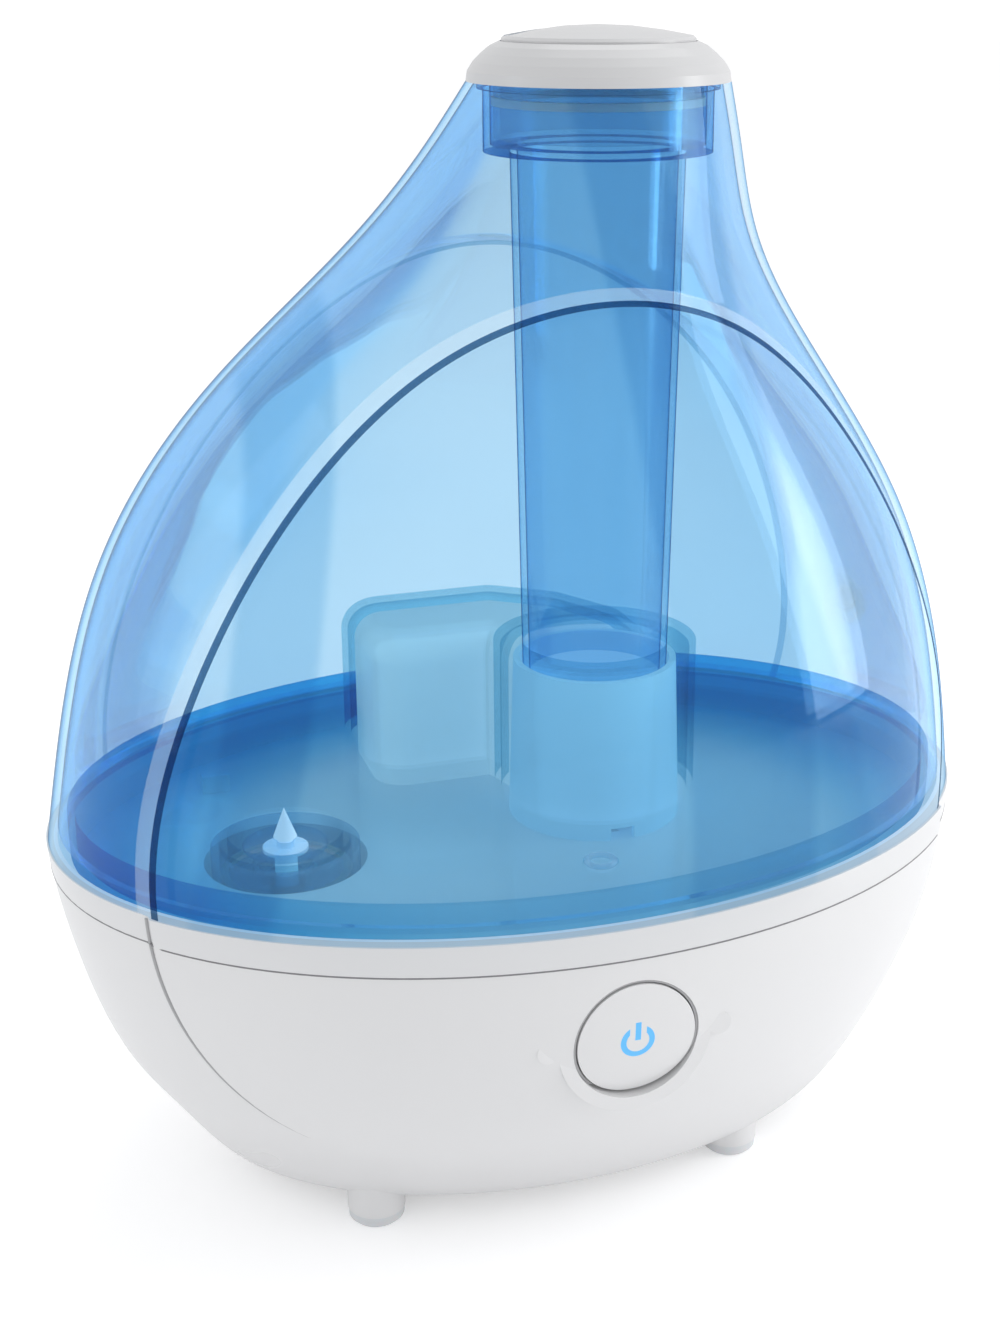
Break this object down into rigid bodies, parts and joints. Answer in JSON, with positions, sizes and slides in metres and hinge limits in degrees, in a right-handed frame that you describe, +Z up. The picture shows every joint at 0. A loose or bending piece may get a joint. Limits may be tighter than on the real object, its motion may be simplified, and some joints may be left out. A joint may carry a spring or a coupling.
{
  "type": "cool mist humidifier",
  "caption": "Ultrasonic cool mist humidifier: a clear oval water tank with an off-centre neck and round mist nozzle, on a white oval base with one round power button.",
  "frame": {"origin": "on the surface the feet stand on, under the centre of the object's box", "axes": "+Z up, -Y towards the side with the power button, +X towards the end that the neck leans to"},
  "size_m": [0.2248, 0.1702, 0.271],
  "materials": {
    "clear_blue_plastic": "clear, tinted blue, polished",
    "frosted_plastic": "milky, semi-gloss",
    "white_plastic": "smooth moulded, satin gloss",
    "grey_plastic": "fine moulded texture",
    "symbol_blue": "satin inlay",
    "silicone": "soft, translucent matte",
    "spring_steel": "bright drawn wire",
    "screw_steel": "zinc plated",
    "piezo_silver": "fired silver on ceramic",
    "float_plastic": "foamed, matte",
    "dark_metal": "dark sintered metal",
    "black_plastic": "matte moulded",
    "circuit_board": "solder resist over laminate",
    "heat_sink_aluminium": "extruded, plain",
    "socket_plastic": "natural nylon",
    "clear_led": "clear resin",
    "lead_insulation": "soft PVC"
  },
  "bodies": {
    "base": {"basin": "white_plastic", "transducer_cup": "white_plastic", "valve_cup": "white_plastic", "fan_mount": "white_plastic", "base_housing": "white_plastic", "bottom_cover": "grey_plastic", "foot_front_left": "silicone", "foot_front_right": "silicone", "foot_back_left": "silicone", "foot_back_right": "silicone", "deck_screws": "screw_steel", "cover_screws": "screw_steel", "mist_collar": "white_plastic", "air_duct": "white_plastic", "transducer_disc": "piezo_silver", "transducer_seal": "silicone", "transducer_clamp": "grey_plastic", "transducer_screws": "screw_steel", "float_retainer": "grey_plastic", "reed_board": "circuit_board", "reed_switch": "clear_led", "fan_housing": "black_plastic", "fan_motor": "dark_metal", "fan_screws": "screw_steel", "driver_board": "circuit_board", "heat_sink": "heat_sink_aluminium", "power_transistor": "black_plastic", "inductor": "dark_metal", "capacitors": "black_plastic", "control_chip": "black_plastic", "lead_sockets": "socket_plastic", "board_screws": "screw_steel", "power_jack": "black_plastic", "button_ring": "grey_plastic", "tact_switch": "black_plastic", "status_led": "clear_led", "button_board": "circuit_board", "button_socket": "socket_plastic", "fan_lead": "lead_insulation", "transducer_lead": "lead_insulation", "button_lead": "lead_insulation", "jack_lead": "lead_insulation"},
    "tank": {"tank_shell": "clear_blue_plastic", "tank_bottom": "clear_blue_plastic", "mist_tube": "clear_blue_plastic"},
    "filler_cap": {"filler_cap": "frosted_plastic", "filler_seal": "silicone", "valve_spring": "spring_steel"},
    "valve": {"valve_stem": "frosted_plastic", "valve_disc": "silicone"},
    "nozzle_seat": {"nozzle_spigot": "clear_blue_plastic", "spigot_seal": "silicone"},
    "nozzle": {"nozzle_ring": "white_plastic", "nozzle_disc": "white_plastic"},
    "power_button": {"power_button": "white_plastic", "button_icon": "symbol_blue", "switch_plunger": "socket_plastic"},
    "fan_rotor": {"fan_rotor": "black_plastic"},
    "level_float": {"level_float": "float_plastic", "float_magnet": "dark_metal"}
  },
  "joints": [
    {"name": "tank_lift", "type": "slide", "parent": "base", "child": "tank", "axis": [0, 0, 1], "range_m": [0, 0.12]},
    {"name": "filler_cap_twist", "type": "hinge", "parent": "tank", "child": "filler_cap", "pos_m": [-0.0582, -0.0049, 0.08], "axis": [0, 0, 1], "range_deg": [-360, 0]},
    {"name": "valve_slide", "type": "slide", "parent": "filler_cap", "child": "valve", "axis": [0, 0, 1], "range_m": [-0.004, 0], "deforming": ["valve_spring"]},
    {"name": "nozzle_lift", "type": "slide", "parent": "tank", "child": "nozzle_seat", "axis": [0, 0, 1], "range_m": [0, 0.06]},
    {"name": "nozzle_turn", "type": "hinge", "parent": "nozzle_seat", "child": "nozzle", "pos_m": [0.0211, 0, 0.262], "axis": [0, 0, 1], "continuous": true},
    {"name": "button_press", "type": "slide", "parent": "base", "child": "power_button", "axis": [0, 1, 0], "range_m": [0, 0.0008], "stiffness_N_per_m": 400},
    {"name": "fan_spin", "type": "hinge", "parent": "base", "child": "fan_rotor", "pos_m": [-0.006, 0.042, 0.067], "axis": [0, 0, 1], "continuous": true},
    {"name": "float_rise", "type": "slide", "parent": "base", "child": "level_float", "axis": [0, 0, 1], "range_m": [0, 0.0036]}
  ],
  "couplings": [
    {"joint": "valve_slide", "follows": "tank_lift", "ratio": -0.0333}
  ]
}
